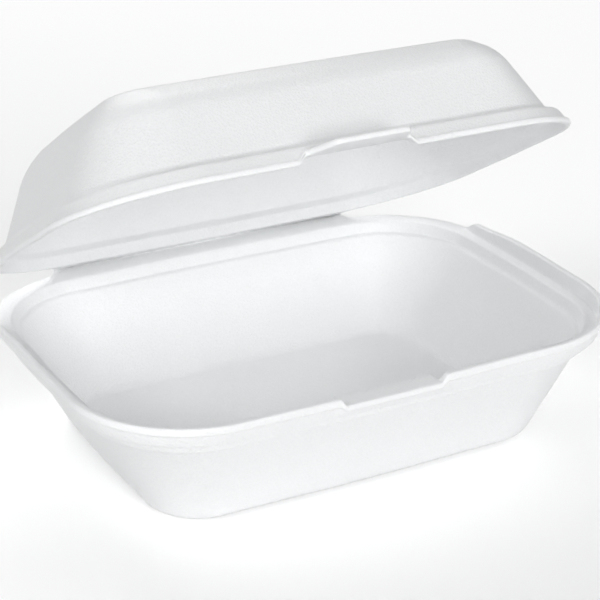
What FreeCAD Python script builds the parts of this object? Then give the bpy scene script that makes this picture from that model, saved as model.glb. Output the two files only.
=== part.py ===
import FreeCAD, Part
import Sketcher
import math
import os

# A hinged lunch box of thermoformed foam sheet: a tray and a lid joined along the rear by a
# pressed crease. Lengths in millimetres. The tray stands on its floor at z 0, front towards
# -y. The lid is drawn closed, from the crease line, and stands open as placed.

doc = FreeCAD.newDocument("clamshell_box")
sheet = doc.addObject("Spreadsheet::Sheet", "Sizes")


class Size:
    """A formula on the cells of the sheet, together with the value that it has now."""

    def __init__(self, text, value):
        self.text = text
        self.value = value

    def __add__(self, other):
        return Size(f"({self.text} + {other.text})", self.value + other.value)

    def __sub__(self, other):
        return Size(f"({self.text} - {other.text})", self.value - other.value)

    def __mul__(self, number):
        return Size(f"({self.text} * {number})", self.value * number)

    def __truediv__(self, number):
        return Size(f"({self.text} / {number})", self.value / number)


ZERO = Size("0", 0.0)
rows = []


def size(alias, value):
    """Put one driving size on the sheet and return it."""
    rows.append(alias)
    sheet.set(f"A{len(rows)}", alias)
    sheet.set(f"B{len(rows)}", str(value))
    sheet.setAlias(f"B{len(rows)}", alias)
    return Size(f"Sizes.{alias}", value)


# The sheet and the outline of the rim
foam = size("foam_thickness", 2.0)
wall_run = size("wall_run", 2.25)
length = size("rim_length", 185.0)
depth = size("rim_depth", 138.4)
corner = size("rim_corner_radius", 39.3)
long_bow = size("long_side_bow", 0.8)
short_bow = size("short_side_bow", 0.6)

# Heights and insets of the tray's rim
ledge_height = size("ledge_height", 38.3)
lip_height = size("lip_height", 4.85)
bead_height = size("bead_height", 2.65)
bead_overhang = size("bead_overhang", 0.9)
lip_draft = size("lip_draft", 1.0)
lip_thickness = size("lip_thickness", 2.3)
lip_inner_draft = size("lip_inner_draft", 0.6)
ledge_width = size("ledge_width", 3.9)
riser_depth = size("riser_depth", 4.0)
riser_draft = size("riser_draft", 1.0)
step_width = size("step_width", 2.0)
step_skew = size("step_skew", 0.75)

# The tray's wall and floor
wall_draft = size("wall_draft", 15.5)
floor_round = size("floor_round", 5.0)
floor_inner_edge = size("floor_inner_edge", 2.4)

# Where the raised lip runs down to the flat ledge, as distances behind the middle
lip_fall_start = size("lip_fall_start", 15.0)
lip_fall = size("lip_fall", 1.65)
ramp_top = size("ramp_top", 34.0)
ramp_foot = size("ramp_foot", 38.5)
rise_start = size("edge_rise_start", 24.0)

# The hinge crease
crease_offset = size("crease_offset", 2.3)
strip_half = size("strip_half_width", 56.7)
crease_clearance = size("crease_clearance", 0.12)
open_angle = size("lid_open_angle", 30.6)

# The lock at the front
lock_offset = size("lock_offset", 4.0)
lock_width = size("lock_width", 33.2)
lock_rise = size("lock_rise", 2.4)
lock_reach = size("lock_reach", 8.0)
tab_root = size("tab_root_width", 33.0)
tab_tip = size("tab_tip_width", 24.0)
tab_length = size("tab_length", 11.0)
tab_thickness = size("tab_thickness", 1.8)
tab_round = size("tab_round", 3.0)

# Clearances between the two halves when closed
seat_gap = size("seat_gap", 0.3)
lip_gap = size("lip_gap", 0.35)
lock_gap = size("lock_gap", 0.4)

# The lid's section: insets from its own edge and heights above its seat
lid_foot = size("lid_riser_foot_inset", 1.0)
lid_riser_run = size("lid_riser_run", 2.15)
lid_riser = size("lid_riser_height", 3.8)
lid_shoulder = size("lid_shoulder_height", 1.0)
shoulder_inset = size("lid_shoulder_inset", 7.85)
crease_height = size("lid_crease_height", 28.7)
crease_inset = size("lid_crease_inset", 17.55)
lid_height = size("lid_height", 35.7)
top_inset = size("lid_top_inset", 27.3)
top_round = size("lid_top_round", 6.0)
top_inner_edge = size("lid_top_inner_edge", 2.4)
shoulder_edge = size("lid_shoulder_edge", 1.0)
doc.recompute()

half_length = length / 2
half_depth = depth / 2


def plane(body, role):
    """One of the body's own origin planes."""
    return next(item for item in body.Origin.OriginFeatures if item.Role == role)


def new_sketch(body, name, role, offset):
    """A sketch on an origin plane of the body, moved by offset, a dict of x, y and z."""
    sketch = body.newObject("Sketcher::SketchObject", name)
    sketch.AttachmentSupport = [(plane(body, role), "")]
    sketch.MapMode = "FlatFace"
    for axis, value in offset.items():
        sketch.setExpression(f"AttachmentOffset.Base.{axis}", value.text)
    return sketch


def limit(sketch, kind, parts, value, name):
    """Add a named dimension whose value follows the sheet."""
    index = sketch.addConstraint(Sketcher.Constraint(kind, *parts, value.value))
    sketch.renameConstraint(index, name)
    sketch.setExpression(f"Constraints.{name}", value.text)


def arc_radius(half_chord, bow):
    """Radius of the arc that rises by bow over twice half_chord."""
    text = f"({half_chord.text} ^ 2 + {bow.text} ^ 2) / ({bow.text} * 2)"
    return Size(f"({text})", (half_chord.value ** 2 + bow.value ** 2) / (bow.value * 2))


class Outline:
    """A level rounded rectangle with slightly bowed sides, and every outline parallel to it."""

    def __init__(self, half_x, half_y, radius, middle=ZERO):
        self.radius = radius
        self.middle = middle
        self.long_radius = arc_radius(half_x - radius, long_bow)
        self.short_radius = arc_radius(half_y - radius, short_bow)
        self.long_shift = self.long_radius - half_y
        self.short_shift = self.short_radius - half_x

    def corner_centre(self):
        """Where the corner arc that touches both side arcs has its centre."""
        east = self.short_shift.value
        north = self.long_shift.value
        span = math.hypot(east, north)
        to_long = self.long_radius.value - self.radius.value
        to_short = self.short_radius.value - self.radius.value
        along = (to_long ** 2 - to_short ** 2 + span ** 2) / (2 * span)
        across = math.sqrt(to_long ** 2 - along ** 2)
        x = (across * north - along * east) / span
        y = (along * north + across * east) / span - north
        return x, y

    def ring(self, body, name, inset, height):
        """A sketch of the outline moved inwards by inset: four side arcs and four corner arcs."""
        sketch = new_sketch(body, name, "XY_Plane", {"y": self.middle, "z": height})
        x, y = self.corner_centre()
        turn = math.atan2(y, x + self.short_shift.value)
        steep = math.atan2(y + self.long_shift.value, x)
        east = self.short_shift.value
        north = self.long_shift.value
        corner_arc = self.radius - inset
        short_arc = self.short_radius - inset
        long_arc = self.long_radius - inset
        arcs = [
            (-east, 0.0, short_arc, -turn, turn),
            (x, y, corner_arc, turn, steep),
            (0.0, -north, long_arc, steep, math.pi - steep),
            (-x, y, corner_arc, math.pi - steep, math.pi - turn),
            (east, 0.0, short_arc, math.pi - turn, math.pi + turn),
            (-x, -y, corner_arc, math.pi + turn, math.pi + steep),
            (0.0, north, long_arc, math.pi + steep, 2 * math.pi - steep),
            (x, -y, corner_arc, -steep, -turn),
        ]
        for across, up, radius, first, last in arcs:
            centre = FreeCAD.Vector(across, up, 0)
            circle = Part.Circle(centre, FreeCAD.Vector(0, 0, 1), radius.value)
            sketch.addGeometry(Part.ArcOfCircle(circle, first, last))
        for index in range(8):
            sketch.addConstraint(Sketcher.Constraint("Tangent", index, 2, (index + 1) % 8, 1))
        for index in (3, 5, 7):
            sketch.addConstraint(Sketcher.Constraint("Equal", 1, index))
        for first, second, axis in ((0, 4, -1), (2, 6, -2)):
            sketch.addConstraint(Sketcher.Constraint("Equal", first, second))
            sketch.addConstraint(Sketcher.Constraint("PointOnObject", first, 3, axis))
            sketch.addConstraint(Sketcher.Constraint("Symmetric", first, 3, second, 3, -1, 1))
        limit(sketch, "Radius", (1,), corner_arc, "corner_radius")
        limit(sketch, "Radius", (0,), short_arc, "short_side_radius")
        limit(sketch, "Radius", (2,), long_arc, "long_side_radius")
        limit(sketch, "DistanceX", (0, 3, -1, 1), self.short_shift, "short_side_centre")
        limit(sketch, "DistanceY", (2, 3, -1, 1), self.long_shift, "long_side_centre")
        return sketch


def polygon(body, name, role, corners, offset):
    """A closed run of straight lines through corners, each a pair of sizes."""
    sketch = new_sketch(body, name, role, offset)
    count = len(corners)
    points = [FreeCAD.Vector(across.value, up.value, 0) for across, up in corners]
    for index in range(count):
        sketch.addGeometry(Part.LineSegment(points[index], points[(index + 1) % count]))
    for index in range(count):
        sketch.addConstraint(Sketcher.Constraint("Coincident", index, 2, (index + 1) % count, 1))
    for index, (across, up) in enumerate(corners):
        for kind, value, axis in (("DistanceX", across, -2), ("DistanceY", up, -1)):
            place(sketch, kind, index, value, axis, f"{kind}_{index}")
    return sketch


def place(sketch, kind, index, value, axis, name):
    """Hold the start of a line at a signed distance from the sketch's origin."""
    if value.value == 0:
        sketch.addConstraint(Sketcher.Constraint("PointOnObject", index, 1, axis))
    elif value.value > 0:
        limit(sketch, kind, (-1, 1, index, 1), value, name)
    else:
        limit(sketch, kind, (index, 1, -1, 1), ZERO - value, name)


def loft(body, kind, name, sections):
    """A straight-ruled loft through level outlines, added or cut away."""
    feature = body.newObject(f"PartDesign::{kind}Loft", name)
    feature.Profile = sections[0]
    feature.Sections = [(section, [""]) for section in sections[1:]]
    feature.Ruled = True
    return feature


def extrude(body, kind, name, sketch, distance, symmetric=False, upwards=False):
    """A pad or pocket of the given length; a pocket runs against the sketch's normal."""
    feature = body.newObject(f"PartDesign::{kind}", name)
    feature.Profile = sketch
    feature.setExpression("Length", distance.text)
    if symmetric:
        feature.SideType = "Symmetric"
    feature.Reversed = upwards
    return feature


def soften(body, kind, name, feature, amount, wanted):
    """Fillet or chamfer the edges of a feature that wanted picks."""
    doc.recompute()
    edges = enumerate(feature.Shape.Edges)
    picked = [f"Edge{index + 1}" for index, edge in edges if wanted(edge)]
    softened = body.newObject(f"PartDesign::{kind}", name)
    softened.Base = (feature, picked)
    softened.setExpression("Radius" if kind == "Fillet" else "Size", amount.text)
    return softened


def level_at(height):
    """Picks the edges that lie wholly at one height of the body."""
    def wanted(edge):
        return all(abs(vertex.Point.z - height.value) < 0.01 for vertex in edge.Vertexes)
    return wanted


# The tray
tray = doc.addObject("PartDesign::Body", "base_tray")
tray.Label = "base_tray"


rim_outline = Outline(half_length, half_depth, corner)


def tray_ring(name, inset, height):
    """The rim's outline moved inwards."""
    return rim_outline.ring(tray, name, inset, height)


ledge_under = ledge_height - foam
lip_top = ledge_height + lip_height
bead_under = lip_top - bead_height
lip_inner_foot = lip_thickness + lip_inner_draft
riser_inset = lip_inner_foot + ledge_width
riser_foot = ledge_height - riser_depth
riser_under = riser_foot - foam
step_outer = riser_inset + riser_draft
step_inner = step_outer + step_width

# Rim block from the ledge's underside to the lip's top, then undercut in front so that only
# the trimmed edge reaches the outline; the edge runs down to the flat ledge near the rear
edge_height = lip_top - ledge_under
rim = extrude(tray, "Pad", "RimBlock", tray_ring("RimOutline", ZERO, ledge_under), edge_height)
undercut_corners = [
    (ZERO - depth, ledge_under),
    (ramp_foot, ledge_under),
    (rise_start, bead_under),
    (ZERO - depth, bead_under),
]
undercut = polygon(tray, "UndercutSide", "YZ_Plane", undercut_corners, {})
extrude(tray, "Pocket", "RimUndercut", undercut, length + length, symmetric=True)
lip_foot_ring = tray_ring("LipFoot", bead_overhang + lip_draft, ledge_under)
lip_neck_ring = tray_ring("LipNeck", bead_overhang, bead_under)
loft(tray, "Additive", "LipWall", [lip_foot_ring, lip_neck_ring])
above = lip_top + foam
ramp_corners = [
    (lip_fall_start, lip_top),
    (ramp_top, lip_top - lip_fall),
    (ramp_foot, ledge_height),
    (depth, ledge_height),
    (depth, above),
    (lip_fall_start, above),
]
ramp = polygon(tray, "RampSide", "YZ_Plane", ramp_corners, {})
extrude(tray, "Pocket", "LipRamp", ramp, length + length, symmetric=True)
inner_foot_ring = tray_ring("LipInnerFoot", lip_inner_foot, ledge_height)
inner_top_ring = tray_ring("LipInnerTop", lip_thickness, lip_top)
loft(tray, "Subtractive", "LipInside", [inner_foot_ring, inner_top_ring])

# Outside of the riser below the ledge, then of the drafted wall with its rounded foot
riser_low_ring = tray_ring("RiserOuterFoot", step_outer - foam, riser_under)
riser_high_ring = tray_ring("RiserOuterTop", riser_inset - foam, ledge_under)
loft(tray, "Additive", "RiserOutside", [riser_low_ring, riser_high_ring])
wall_half_x = half_length - step_inner - step_skew
wall_half_y = half_depth - step_inner + step_skew
wall_outline = Outline(wall_half_x, wall_half_y, corner - step_inner)
floor_ring = wall_outline.ring(tray, "FloorOutline", wall_draft - wall_run, ZERO)
wall_ring = wall_outline.ring(tray, "WallOuterTop", ZERO - wall_run, riser_under)
walls = loft(tray, "Additive", "WallOutside", [floor_ring, wall_ring])
soften(tray, "Fillet", "FloorRound", walls, floor_round, level_at(ZERO))

# Inside of the riser and of the wall
riser_in_low = tray_ring("RiserInnerFoot", step_outer, riser_foot)
riser_in_high = tray_ring("RiserInnerTop", riser_inset, ledge_height)
loft(tray, "Subtractive", "RiserInside", [riser_in_low, riser_in_high])
inner_floor = wall_outline.ring(tray, "InnerFloor", wall_draft, foam)
wall_in_top = wall_outline.ring(tray, "WallInnerTop", ZERO, riser_foot)
hollow = loft(tray, "Subtractive", "WallInside", [inner_floor, wall_in_top])
soften(tray, "Chamfer", "InnerFloorEdge", hollow, floor_inner_edge, level_at(foam))

# Lock pad: the ledge raised to the notch in the lip, hollow underneath like the rest
lock_top = ledge_height + lock_rise
lock_centre = ZERO - lock_offset
lock_left = lock_centre - lock_width / 2
lock_right = lock_centre + lock_width / 2
front = ZERO - half_depth
notch_corners = [
    (lock_left, front - foam),
    (lock_right, front - foam),
    (lock_right, front + lock_reach),
    (lock_left, front + lock_reach),
]
notch = polygon(tray, "LockNotchPlan", "XY_Plane", notch_corners, {"z": lip_top})
extrude(tray, "Pocket", "LockNotch", notch, lip_top - lock_top)
lock_front = front + long_bow / 8
pad_corners = [
    (lock_front, lock_top),
    (lock_front, lock_top - foam),
    (front + foam, lock_top - foam),
    (front + foam, ledge_height - foam / 2),
    (front + lock_reach - foam / 2, ledge_height - foam / 2),
    (front + lock_reach - foam / 2, riser_foot - foam / 2),
    (front + lock_reach, riser_foot - foam / 2),
    (front + lock_reach, lock_top),
]
pad = polygon(tray, "LockPadSide", "YZ_Plane", pad_corners, {"z": lock_centre})
extrude(tray, "Pad", "LockPad", pad, lock_width, symmetric=True)
under_corners = [
    (front + lip_inner_foot + foam / 4, riser_under - foam),
    (front + lock_reach - foam, riser_under - foam),
    (front + lock_reach - foam, lock_top - foam),
    (front + lip_inner_foot + foam / 4, lock_top - foam),
]
under = polygon(tray, "LockHollowSide", "YZ_Plane", under_corners, {"z": lock_centre})
extrude(tray, "Pocket", "LockHollow", under, lock_width - foam * 2, symmetric=True)

# Half of the hinge strip, with a rounded notch at each end
crease_y = half_depth + crease_offset


def strip(body, name, height, rear, notch_y):
    """Add the half strip that ends at rear, and notch its ends round notch_y."""
    root = rear - crease_offset - ledge_width
    reach = strip_half + crease_offset
    corners = [
        (ZERO - reach, root),
        (reach, root),
        (reach, rear),
        (ZERO - reach, rear),
    ]
    plan = polygon(body, f"{name}Plan", "XY_Plane", corners, {"z": height})
    extrude(body, "Pad", f"{name}Strip", plan, foam)
    sketch = new_sketch(body, f"{name}Notches", "XY_Plane", {"z": height + foam, "y": notch_y})
    for index, side in enumerate((reach, ZERO - reach)):
        centre = FreeCAD.Vector(side.value, 0, 0)
        sketch.addGeometry(Part.Circle(centre, FreeCAD.Vector(0, 0, 1), crease_offset.value))
        sketch.addConstraint(Sketcher.Constraint("PointOnObject", index, 3, -1))
        limit(sketch, "Radius", (index,), crease_offset, f"notch_radius_{index}")
    limit(sketch, "DistanceX", (-1, 1, 0, 3), reach, "notch_right")
    limit(sketch, "DistanceX", (1, 3, -1, 1), reach, "notch_left")
    return extrude(body, "Pocket", f"{name}NotchCut", sketch, foam)


tray.Tip = strip(tray, "Hinge", ledge_under, crease_y - crease_clearance, crease_y)

# The lid, drawn closed with its origin on the crease line
lid = doc.addObject("PartDesign::Body", "lid")
lid.Label = "lid"
lid_inset = lip_inner_foot + lip_gap
lid_half_x = half_length - lid_inset
lid_half_y = half_depth - lid_inset / 2
lid_middle = lid_inset / 2 - crease_y
lid_outline = Outline(lid_half_x, lid_half_y, corner, lid_middle)
lid_front = lid_inset - half_depth - crease_y
seat = seat_gap / 2


def lid_ring(name, inset, height):
    """The lid's outline moved inwards, at a height above its seat."""
    return lid_outline.ring(lid, name, inset, seat + height)


flange_ring = lid_ring("LidOutline", ZERO, ZERO)
extrude(lid, "Pad", "LidFlange", flange_ring, foam)
riser_top_inset = lid_foot + lid_riser_run
riser_top_height = foam + lid_riser
wall_foot_height = riser_top_height + lid_shoulder
shell_rings = [
    lid_ring("LidRiserFoot", lid_foot, foam),
    lid_ring("LidRiserTop", riser_top_inset, riser_top_height),
    lid_ring("LidWallFoot", shoulder_inset, wall_foot_height),
    lid_ring("LidCrease", crease_inset, crease_height),
    lid_ring("LidTop", top_inset, lid_height),
]
shell = loft(lid, "Additive", "LidOutside", shell_rings)
top_edge = soften(lid, "Fillet", "LidTopRound", shell, top_round, level_at(seat + lid_height))
shoulder_level = level_at(seat + riser_top_height)
soften(lid, "Chamfer", "LidShoulderEdge", top_edge, shoulder_edge, shoulder_level)

# The inside follows the outside one sheet below
inner_top_height = lid_height - foam
inner_seat = lid_foot + wall_run - foam / 2
inner_riser = riser_top_inset + wall_run / 2
inner_foot = shoulder_inset + wall_run / 2
inner_crease = crease_inset + wall_run * 0.75
inner_rings = [
    lid_ring("LidInnerSeat", inner_seat, ZERO),
    lid_ring("LidInnerRiser", inner_riser, riser_top_height - foam),
    lid_ring("LidInnerFoot", inner_foot, wall_foot_height - foam),
    lid_ring("LidInnerCrease", inner_crease, crease_height - foam / 1.5),
    lid_ring("LidInnerTop", top_inset + foam / 3, inner_top_height),
]
inside = loft(lid, "Subtractive", "LidInside", inner_rings)
soften(lid, "Chamfer", "LidInnerEdge", inside, top_inner_edge, level_at(seat + inner_top_height))

# The flange is lifted over the lock pad and runs out into a thumb tab
tab_under = lock_rise + seat
relief_depth = lock_reach - lid_inset + lock_gap
relief_corners = [
    (lock_left - lock_gap, lid_front - foam),
    (lock_right + lock_gap, lid_front - foam),
    (lock_right + lock_gap, lid_front + relief_depth),
    (lock_left - lock_gap, lid_front + relief_depth),
]
relief = polygon(lid, "LockReliefPlan", "XY_Plane", relief_corners, {"z": tab_under})
extrude(lid, "Pocket", "LockRelief", relief, tab_under)
tab_corners = [
    (lock_centre - tab_root / 2, lid_front + foam * 1.5),
    (lock_centre - tab_root / 2, lid_front),
    (lock_centre - tab_tip / 2, lid_front - tab_length),
    (lock_centre + tab_tip / 2, lid_front - tab_length),
    (lock_centre + tab_root / 2, lid_front),
    (lock_centre + tab_root / 2, lid_front + foam * 1.5),
]
tab_plan = polygon(lid, "TabPlan", "XY_Plane", tab_corners, {"z": tab_under})
tab = extrude(lid, "Pad", "Tab", tab_plan, tab_thickness)
tip_line = lid_front - tab_length


def tab_corner(edge):
    """Picks the two upright edges at the tab's tip."""
    upright = abs(edge.Vertexes[0].Point.z - edge.Vertexes[-1].Point.z) > tab_thickness.value / 2
    return upright and abs(edge.Vertexes[0].Point.y - tip_line.value) < seat.value


soften(lid, "Fillet", "TabRound", tab, tab_round, tab_corner)
lid.Tip = strip(lid, "LidHinge", seat, ZERO - crease_clearance, ZERO)

# The lid turns about the crease line, at the level where its seat meets the ledge
crease_height_now = ledge_height + seat
turned = FreeCAD.Rotation(FreeCAD.Vector(-1, 0, 0), open_angle.value)
crease_point = FreeCAD.Vector(0, crease_y.value, crease_height_now.value)
lid.Placement = FreeCAD.Placement(crease_point, turned)
lid.setExpression("Placement.Base.y", crease_y.text)
lid.setExpression("Placement.Base.z", crease_height_now.text)
lid.setExpression("Placement.Rotation.Angle", open_angle.text)
doc.recompute()

for item in doc.Objects:
    if "Invalid" in item.State or "Error" in item.State:
        raise RuntimeError(f"{item.Name} did not build")
os.makedirs("parts", exist_ok=True)
for body in (tray, lid):
    if body.Shape.isNull() or not body.Shape.isValid() or len(body.Shape.Solids) != 1:
        raise RuntimeError(f"{body.Name} is not one sound solid")
    body.Shape.exportStep(f"parts/{body.Label}.step")
    print(body.Name, body.Shape.Volume, body.Shape.BoundBox)
print(lid.Placement)
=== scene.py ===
import math

import bmesh
import bpy
from mathutils import Matrix, Vector


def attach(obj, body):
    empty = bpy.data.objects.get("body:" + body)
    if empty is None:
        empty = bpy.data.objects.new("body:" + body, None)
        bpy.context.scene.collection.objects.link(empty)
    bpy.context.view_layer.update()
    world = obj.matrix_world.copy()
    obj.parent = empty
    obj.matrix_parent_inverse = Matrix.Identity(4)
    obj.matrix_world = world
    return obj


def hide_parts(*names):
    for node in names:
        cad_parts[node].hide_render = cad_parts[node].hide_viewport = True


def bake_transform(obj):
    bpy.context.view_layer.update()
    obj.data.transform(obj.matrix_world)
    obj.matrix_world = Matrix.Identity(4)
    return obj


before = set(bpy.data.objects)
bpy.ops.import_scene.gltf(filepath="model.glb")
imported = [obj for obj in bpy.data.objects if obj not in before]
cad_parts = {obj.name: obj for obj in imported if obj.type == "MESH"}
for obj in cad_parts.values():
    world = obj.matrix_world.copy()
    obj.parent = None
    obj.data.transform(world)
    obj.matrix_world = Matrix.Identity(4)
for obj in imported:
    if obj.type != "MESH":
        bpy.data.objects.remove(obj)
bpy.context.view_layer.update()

# The tray: the lower half of the box, thermoformed in one with the lid from a sheet of foamed
# polystyrene two millimetres thick. Its wall leans outwards up to a step and a ledge, and the
# trimmed rim stands up as a lip round the front and the ends.
MM = 0.001
CORNER_STEPS = 40
LONG_CUTS = 200
SHORT_CUTS = 62
LONG_BOW = 0.8
SHORT_BOW = 0.6
RIM_HALF = (92.5, 69.2)
RIM_CORNER = 39.3
LEDGE = 38.3
LOCK_CENTRE = -4.0
LOCK_HALF = 16.6
LOCK_TOP = 40.7
TRAY_LOCK_MARGIN = 0.7
TRAY_LOCK_SLOPE = 2.6
LIP_SINK = 0.34
LIP_SINK_SPAN = (8.0, 34.0)
LIP_RAMP_SPAN = (33.0, 39.0)
REAR_INSET_SPAN = (30.0, 39.0)
CREASE_Y = 71.5
CREASE_GAP = 0.12
STRIP_HALF = 56.7
STRIP_NOTCH = 2.3
FINE_GRAIN_WEIGHT = 0.6


def ease(value, low, high):
    """Smooth step from 0 at low to 1 at high."""
    share = min(1.0, max(0.0, (value - low) / (high - low)))
    return share * share * (3 - 2 * share)


def plateau(offset, half, slope):
    """1 within half of the middle, falling to 0 over slope centred on the edge."""
    return 1 - ease(abs(offset), half - slope / 2, half + slope / 2)


def unique(items):
    """The items in the order they come, each once."""
    return list(dict.fromkeys(items))


def ring(bm, half_x, half_y, radius, middle=0.0):
    """A level rounded rectangle with bowed sides: edges, vertices and its corners' centre."""
    turn = Matrix.Rotation(math.pi / (4 * CORNER_STEPS), 4, "Z")
    made = bmesh.ops.create_circle(bm, radius=radius, segments=4 * CORNER_STEPS, matrix=turn)
    verts = made["verts"]
    centre = (half_x - radius - SHORT_BOW, half_y - radius - LONG_BOW)
    for vert in verts:
        vert.co.x += math.copysign(centre[0], vert.co.x)
        vert.co.y += math.copysign(centre[1], vert.co.y)
    edges = unique(edge for vert in verts for edge in vert.link_edges)
    for axis, cuts in ((0, LONG_CUTS), (1, SHORT_CUTS)):
        sides = [edge for edge in edges if edge.verts[0].co[axis] * edge.verts[1].co[axis] < 0]
        split = bmesh.ops.subdivide_edges(bm, edges=sides, cuts=cuts)["geom_split"]
        added = [item for item in split if isinstance(item, bmesh.types.BMEdge)]
        edges = [edge for edge in unique(edges + added) if edge.is_valid]
    verts = unique(vert for edge in edges for vert in edge.verts)
    for vert in verts:
        along = [min(1.0, abs(vert.co[axis]) / max(centre[axis], 1.0)) for axis in (0, 1)]
        if along[0] < 1:
            vert.co.y += math.copysign(LONG_BOW * (1 - along[0] ** 2) ** 2, vert.co.y)
        if along[1] < 1:
            vert.co.x += math.copysign(SHORT_BOW * (1 - along[1] ** 2) ** 2, vert.co.x)
        vert.co.y += middle
    return edges, verts, centre


def draw_in(vert, centre, amount, middle=0.0):
    """Move a ring's vertex inwards, square to its outline."""
    x, y = vert.co.x, vert.co.y - middle
    out = Vector((
        math.copysign(max(0.0, abs(x) - centre[0]), x),
        math.copysign(max(0.0, abs(y) - centre[1]), y),
        0.0,
    ))
    vert.co -= out.normalized() * amount


def change(row, key, other):
    """How much a row's value under key changes where the other key's value holds."""
    return row.get(other, row[key]) - row[key]


def lip_share(y):
    """How much of the lip's height is left at y: it sinks slowly, then ramps to the ledge."""
    slow = 1 - LIP_SINK * ease(y, *LIP_SINK_SPAN)
    return slow * (1 - ease(y, *LIP_RAMP_SPAN))


def hold_at_crease(vert):
    """Bring a rear vertex of the hinge strip to the crease line, but for the notched ends."""
    past = abs(vert.co.x) - STRIP_HALF
    if past >= STRIP_NOTCH:
        return
    gap = CREASE_GAP
    if past > 0:
        gap = max(gap, math.sqrt(STRIP_NOTCH ** 2 - (STRIP_NOTCH - past) ** 2))
    vert.co.y = max(vert.co.y, CREASE_Y - gap)


def skin(bm, loops):
    """Bridge neighbouring loops, close both ends, then round each loop by its own amount."""
    for first, second in zip(loops, loops[1:]):
        bmesh.ops.bridge_loops(bm, edges=first["edges"] + second["edges"])
    for end in (loops[0], loops[-1]):
        bmesh.ops.edgeloop_fill(bm, edges=end["edges"])
    for loop in loops:
        bmesh.ops.bevel(
            bm, geom=loop["edges"], offset=loop["round"], offset_type="OFFSET",
            segments=loop["steps"], profile=0.5, affect="EDGES", material=-1,
        )


def to_metres(bm):
    """Scale a mesh that is drawn in millimetres."""
    bmesh.ops.scale(bm, vec=Vector((MM, MM, MM)), verts=bm.verts)


def finish_piece(name, bm, material):
    """A smooth-shaded object from the mesh, with its normals outwards."""
    bmesh.ops.recalc_face_normals(bm, faces=bm.faces)
    mesh = bpy.data.meshes.new(name)
    bm.to_mesh(mesh)
    bm.free()
    mesh.shade_smooth()
    mesh.materials.append(material)
    piece = bpy.data.objects.new(name, mesh)
    bpy.context.collection.objects.link(piece)
    return piece


def foam_skin():
    """Node group for the skin of foamed sheet: cells under a smooth surface, and faint waves."""
    group = bpy.data.node_groups.new("foam_skin", "ShaderNodeTree")
    for name, way, kind in (
        ("Cell Size", "INPUT", "NodeSocketFloat"),
        ("Depth", "INPUT", "NodeSocketFloat"),
        ("Color", "OUTPUT", "NodeSocketColor"),
        ("Roughness", "OUTPUT", "NodeSocketFloat"),
        ("Normal", "OUTPUT", "NodeSocketVector"),
    ):
        group.interface.new_socket(name, in_out=way, socket_type=kind)
    nodes, links = group.nodes, group.links
    inside = nodes.new("NodeGroupInput")
    out = nodes.new("NodeGroupOutput")
    place = nodes.new("ShaderNodeTexCoord")
    per_metre = nodes.new("ShaderNodeMath")
    per_metre.operation = "DIVIDE"
    per_metre.inputs[0].default_value = 1.0
    links.new(inside.outputs["Cell Size"], per_metre.inputs[1])
    cells = nodes.new("ShaderNodeTexVoronoi")
    cells.feature = "SMOOTH_F1"
    cells.inputs["Smoothness"].default_value = 0.6
    fine = nodes.new("ShaderNodeTexNoise")
    fine.inputs["Detail"].default_value = 3.0
    broad = nodes.new("ShaderNodeTexNoise")
    broad.inputs["Scale"].default_value = 45.0
    broad.inputs["Detail"].default_value = 2.0
    for texture in (cells, fine, broad):
        links.new(place.outputs["Object"], texture.inputs["Vector"])
    for texture in (cells, fine):
        links.new(per_metre.outputs[0], texture.inputs["Scale"])
    grain = nodes.new("ShaderNodeMath")
    grain.operation = "MULTIPLY_ADD"
    grain.inputs[1].default_value = FINE_GRAIN_WEIGHT
    links.new(fine.outputs["Fac"], grain.inputs[0])
    links.new(cells.outputs["Distance"], grain.inputs[2])
    bump = nodes.new("ShaderNodeBump")
    bump.inputs["Strength"].default_value = 0.6
    links.new(inside.outputs["Depth"], bump.inputs["Distance"])
    links.new(grain.outputs[0], bump.inputs["Height"])
    wave = nodes.new("ShaderNodeBump")
    wave.inputs["Strength"].default_value = 0.25
    wave.inputs["Distance"].default_value = 0.0006
    links.new(broad.outputs["Fac"], wave.inputs["Height"])
    links.new(bump.outputs["Normal"], wave.inputs["Normal"])
    links.new(wave.outputs["Normal"], out.inputs["Normal"])
    tint = nodes.new("ShaderNodeMix")
    tint.data_type = "RGBA"
    tint.inputs["A"].default_value = (0.93, 0.94, 0.95, 1)
    tint.inputs["B"].default_value = (0.975, 0.98, 0.985, 1)
    links.new(grain.outputs[0], tint.inputs["Factor"])
    links.new(tint.outputs["Result"], out.inputs["Color"])
    shine = nodes.new("ShaderNodeMapRange")
    shine.inputs["To Min"].default_value = 0.34
    shine.inputs["To Max"].default_value = 0.52
    links.new(fine.outputs["Fac"], shine.inputs["Value"])
    links.new(shine.outputs["Result"], out.inputs["Roughness"])
    return group


foam = bpy.data.materials.new("white_foam")
foam.use_nodes = True
foam_shader = foam.node_tree.nodes["Principled BSDF"]
foam_shader.inputs["Specular IOR Level"].default_value = 0.4
foam_look = foam.node_tree.nodes.new("ShaderNodeGroup")
foam_look.node_tree = foam_skin()
foam_look.inputs["Cell Size"].default_value = 0.0007
foam_look.inputs["Depth"].default_value = 0.0002
for output, socket in (("Color", "Base Color"), ("Roughness", "Roughness"), ("Normal", "Normal")):
    foam.node_tree.links.new(foam_look.outputs[output], foam_shader.inputs[socket])

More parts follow.
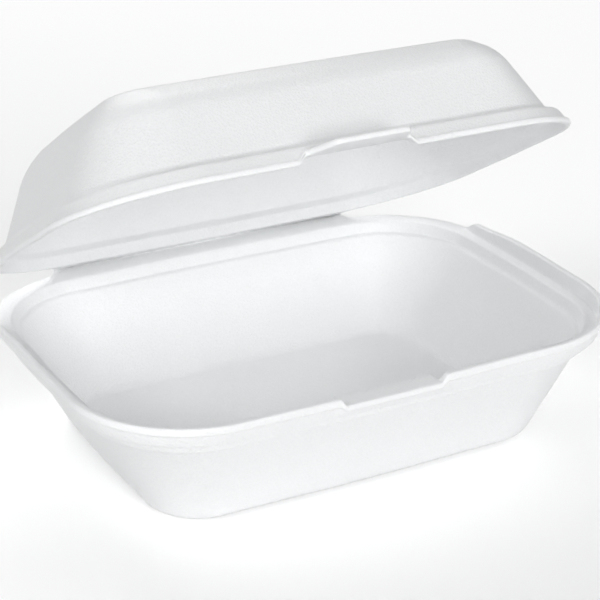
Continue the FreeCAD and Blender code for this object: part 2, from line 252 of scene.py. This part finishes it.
# Each loop of the section, in millimetres: how far it lies inside the rim at the ends and at the
# long sides, its height, what these become at the lock and at the rear, and its rounding
SECTION = [
    dict(end=26.75, front=23.85, level=2.0, corner=15.25, round=2.4, steps=6),
    dict(end=9.8, front=9.8, level=34.3, round=0.7, steps=3),
    dict(end=7.8, front=7.8, level=34.3, lock_inset=8.8, round=0.5, steps=2),
    dict(end=6.8, front=6.8, level=LEDGE, lock_inset=8.0, lock=LOCK_TOP, round=0.7, steps=3),
    dict(end=2.9, front=2.9, level=LEDGE, lock_inset=5.0, lock=LOCK_TOP, round=0.4, steps=2),
    dict(
        end=2.4, front=2.4, level=43.15, lock=LOCK_TOP, rear_inset=1.4, rear=LEDGE,
        round=0.7, steps=4,
    ),
    dict(
        end=0.0, front=0.0, level=43.15, lock=LOCK_TOP, rear=LEDGE, strip=True,
        round=0.6, steps=3,
    ),
    dict(end=0.0, front=0.0, level=40.6, lock=38.8, rear=36.3, strip=True, round=0.5, steps=2),
    dict(end=0.9, front=0.9, level=40.2, lock=38.4, rear=36.3, round=0.3, steps=2),
    dict(end=1.9, front=1.9, level=36.3, round=0.5, steps=2),
    dict(end=4.9, front=4.9, level=36.3, round=0.3, steps=2),
    dict(end=5.9, front=5.9, level=32.3, round=0.5, steps=2),
    dict(end=7.55, front=7.55, level=32.3, round=0.3, steps=2),
    dict(end=24.5, front=21.6, level=0.0, corner=17.5, round=3.2, steps=8),
]

tray_mesh = bmesh.new()
tray_loops = []
for row in SECTION:
    edges, verts, centre = ring(
        tray_mesh, RIM_HALF[0] - row["end"], RIM_HALF[1] - row["front"],
        row.get("corner", RIM_CORNER - row["end"]),
    )
    for vert in verts:
        x, y = vert.co.x, vert.co.y
        rear = row.get("rear", row["level"])
        level = rear + (row["level"] - rear) * lip_share(y)
        if y < 0:
            hold = plateau(x - LOCK_CENTRE, LOCK_HALF + TRAY_LOCK_MARGIN, TRAY_LOCK_SLOPE)
            level += change(row, "level", "lock") * hold
            draw_in(vert, centre, change(row, "front", "lock_inset") * hold)
        else:
            hold = ease(y, *REAR_INSET_SPAN)
            draw_in(vert, centre, change(row, "front", "rear_inset") * hold)
            if row.get("strip"):
                hold_at_crease(vert)
        vert.co.z = level
    tray_loops.append(dict(edges=edges, round=row["round"], steps=row["steps"]))
skin(tray_mesh, tray_loops)
to_metres(tray_mesh)
tray = finish_piece("tray_shell", tray_mesh, foam)
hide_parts("base_tray")
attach(tray, "base")

# The lid: the upper half of the same sheet, a domed cover with a narrow flange that lies on
# the tray's ledge. Over the lock its flange is lifted and runs out into a thumb tab. It is
# drawn closed and then turned open about the crease.
LID_HALF = (89.25, 67.575)
LID_MIDDLE = 1.625
LID_CORNER_LOSS = 1.7
LID_CORNER_SPAN = (0.0, 8.0)
LID_LIFT_MARGIN = 1.9
LID_LIFT_SLOPE = 3.0
OPEN = math.radians(30.6)
SEAT = 0.15
TAB_ROOT = 16.5
TAB_TIP = 12.0
TAB_FLAT = 4.0
TAB_REACH = 11.0
TAB_REACH_FLAT = 10.97
TAB_EASE = 2.0

# The lid's loops in the same way, shut, with heights above the seat; lift values hold over the
# lock, and the rows marked tab and strip run out to the thumb tab and to the crease
LID_SECTION = [
    dict(end=26.4, front=28.95, level=33.7, round=1.8, steps=6),
    dict(end=19.1, front=17.3, level=27.4, round=3.4, steps=7),
    dict(end=6.8, front=10.2, level=4.9, round=0.9, steps=3),
    dict(end=4.35, front=4.35, level=3.8, lift=4.4, round=0.7, steps=3),
    dict(end=2.2, front=2.2, level=0.0, lift=2.4, lift_inset=3.4, round=0.4, steps=2),
    dict(end=0.0, front=0.0, level=0.0, lift=2.4, tab=True, strip=True, round=0.6, steps=4),
    dict(end=0.0, front=0.0, level=1.9, lift=4.2, tab=True, strip=True, round=0.75, steps=4),
    dict(end=1.1, front=1.1, level=2.0, lift=4.25, lift_inset=2.2, round=0.3, steps=2),
    dict(end=3.0, front=3.1, level=5.7, round=1.0, steps=4),
    dict(end=5.6, front=8.8, level=6.8, round=1.6, steps=6),
    dict(end=17.6, front=15.6, level=28.7, round=4.6, steps=8),
    dict(end=25.6, front=28.4, level=35.7, round=3.2, steps=8),
]


def tab_reach(offset):
    """How far the tab stands out at a distance from its middle: a trapezoid, corners eased."""
    past = abs(offset)
    if past >= TAB_ROOT:
        return 0.0
    if past <= TAB_FLAT:
        return TAB_REACH_FLAT
    spare = TAB_REACH - TAB_REACH * (TAB_ROOT - past) / (TAB_ROOT - TAB_TIP)
    return TAB_REACH - (spare + math.sqrt(spare * spare + TAB_EASE)) / 2


lid_mesh = bmesh.new()
lid_loops = []
for row in LID_SECTION:
    mean = (row["end"] + row["front"]) / 2
    edges, verts, centre = ring(
        lid_mesh, LID_HALF[0] - row["end"], LID_HALF[1] - row["front"],
        RIM_CORNER - mean - LID_CORNER_LOSS * ease(mean, *LID_CORNER_SPAN), LID_MIDDLE,
    )
    for vert in verts:
        x, y = vert.co.x, vert.co.y
        level = row["level"]
        if y < 0:
            hold = plateau(x - LOCK_CENTRE, LOCK_HALF + LID_LIFT_MARGIN, LID_LIFT_SLOPE)
            level += change(row, "level", "lift") * hold
            draw_in(vert, centre, change(row, "front", "lift_inset") * hold, LID_MIDDLE)
            if row.get("tab"):
                vert.co.y -= tab_reach(x - LOCK_CENTRE)
        elif row.get("strip"):
            hold_at_crease(vert)
        vert.co.z = level + SEAT
        vert.co.y -= CREASE_Y
    lid_loops.append(dict(edges=edges, round=row["round"], steps=row["steps"]))
skin(lid_mesh, lid_loops)
crease_point = Vector((0.0, CREASE_Y, LEDGE + SEAT))
swing = Matrix.Translation(crease_point) @ Matrix.Rotation(-OPEN, 4, "X")
bmesh.ops.transform(lid_mesh, matrix=Matrix.Scale(MM, 4) @ swing, verts=lid_mesh.verts)
lid = finish_piece("lid_shell", lid_mesh, foam)
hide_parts("lid")
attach(lid, "lid")

# The crease: where tray and lid meet the sheet is pressed to a thin web, the part that bends when
# the lid moves; here it is drawn fixed, as it lies with the lid open. It runs between the notches
# and holds on inside both half strips.
WEB_HALF = 56.2
WEB_THICKNESS = 0.45
WEB_CUTS = 3
WEB_SMOOTH = 0.7
WEB_PATH = [(70.5, 37.9), (71.2, 37.93), (71.68, 38.1), (71.86, 38.42), (71.72, 38.8)]
WEB_END_IN_LID = (0.0, -0.9, 0.6)

lid_end = swing @ Vector(WEB_END_IN_LID)
web_mesh = bmesh.new()
web_points = WEB_PATH + [(lid_end.y, lid_end.z)]
web_verts = [web_mesh.verts.new((-WEB_HALF, y, z)) for y, z in web_points]
web_edges = [web_mesh.edges.new(pair) for pair in zip(web_verts, web_verts[1:])]
bmesh.ops.subdivide_edges(web_mesh, edges=web_edges, cuts=WEB_CUTS, smooth=WEB_SMOOTH)
swept = bmesh.ops.extrude_edge_only(web_mesh, edges=web_mesh.edges[:])["geom"]
moved = [item for item in swept if isinstance(item, bmesh.types.BMVert)]
bmesh.ops.translate(web_mesh, vec=Vector((2 * WEB_HALF, 0, 0)), verts=moved)
bmesh.ops.recalc_face_normals(web_mesh, faces=web_mesh.faces)
bmesh.ops.solidify(web_mesh, geom=web_mesh.faces[:], thickness=WEB_THICKNESS)
to_metres(web_mesh)
web = finish_piece("hinge_web", web_mesh, foam)
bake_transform(web)

# The studio: a plain white floor that glows faintly to the camera, as a lit sweep does, and
# large soft lights in front, behind and on both sides
FLOOR_REACH = 6.0
FLOOR_GLOW = 0.25
LIGHTS_AIM = Vector((0.0, 0.0, 0.04))

floor_mesh = bmesh.new()
bmesh.ops.create_grid(floor_mesh, x_segments=1, y_segments=1, size=FLOOR_REACH)
floor_paint = bpy.data.materials.new("studio_floor")
floor_paint.use_nodes = True
floor_shader = floor_paint.node_tree.nodes["Principled BSDF"]
floor_shader.inputs["Base Color"].default_value = (0.93, 0.93, 0.93, 1)
floor_shader.inputs["Roughness"].default_value = 0.9
floor_shader.inputs["Specular IOR Level"].default_value = 0.1
floor_shader.inputs["Emission Color"].default_value = (1, 1, 1, 1)
seen = floor_paint.node_tree.nodes.new("ShaderNodeLightPath")
glow = floor_paint.node_tree.nodes.new("ShaderNodeMath")
glow.operation = "MULTIPLY"
glow.inputs[1].default_value = FLOOR_GLOW
floor_paint.node_tree.links.new(seen.outputs["Is Camera Ray"], glow.inputs[0])
floor_paint.node_tree.links.new(glow.outputs[0], floor_shader.inputs["Emission Strength"])
floor = finish_piece("studio_floor", floor_mesh, floor_paint)


def area_light(name, place, size, power):
    """A square soft light that points at the object."""
    lamp = bpy.data.lights.new(name, "AREA")
    lamp.size = size
    lamp.energy = power
    light = bpy.data.objects.new(name, lamp)
    light.location = place
    light.rotation_euler = (LIGHTS_AIM - Vector(place)).to_track_quat("-Z", "Y").to_euler()
    bpy.context.collection.objects.link(light)


area_light("front", place=(-0.3, -2.45, 1.0), size=1.3, power=44.5)
area_light("right", place=(2.3, -0.2, 1.35), size=1.3, power=13.5)
area_light("left", place=(-2.3, -0.2, 1.35), size=1.3, power=25.0)
area_light("back", place=(0.4, 2.2, 1.5), size=1.5, power=33.0)
world = bpy.data.worlds.new("studio")
world.use_nodes = True
world.node_tree.nodes["Background"].inputs["Color"].default_value = (0.95, 0.97, 1.0, 1)
world.node_tree.nodes["Background"].inputs["Strength"].default_value = 0.06
bpy.context.scene.world = world
bpy.context.scene.view_settings.view_transform = "Standard"

# The camera stands where the photograph was taken from; its place and lens were fitted to the
# edges of the rim, the foot, the crease and the lid
CAMERA_AZIMUTH = math.radians(-28.26)
CAMERA_ELEVATION = math.radians(23.79)
CAMERA_DISTANCE = 0.6215
CAMERA_TARGET = Vector((0.00091, 0.0, 0.04325))

camera_data = bpy.data.cameras.new("camera")
camera_data.sensor_width = 36.0
camera_data.lens = 115.11
camera = bpy.data.objects.new("camera", camera_data)
back = Vector((
    math.sin(CAMERA_AZIMUTH) * math.cos(CAMERA_ELEVATION),
    -math.cos(CAMERA_AZIMUTH) * math.cos(CAMERA_ELEVATION),
    math.sin(CAMERA_ELEVATION),
))
camera.location = CAMERA_TARGET + back * CAMERA_DISTANCE
camera.rotation_euler = (-back).to_track_quat("-Z", "Y").to_euler()
bpy.context.collection.objects.link(camera)
bpy.context.scene.camera = camera
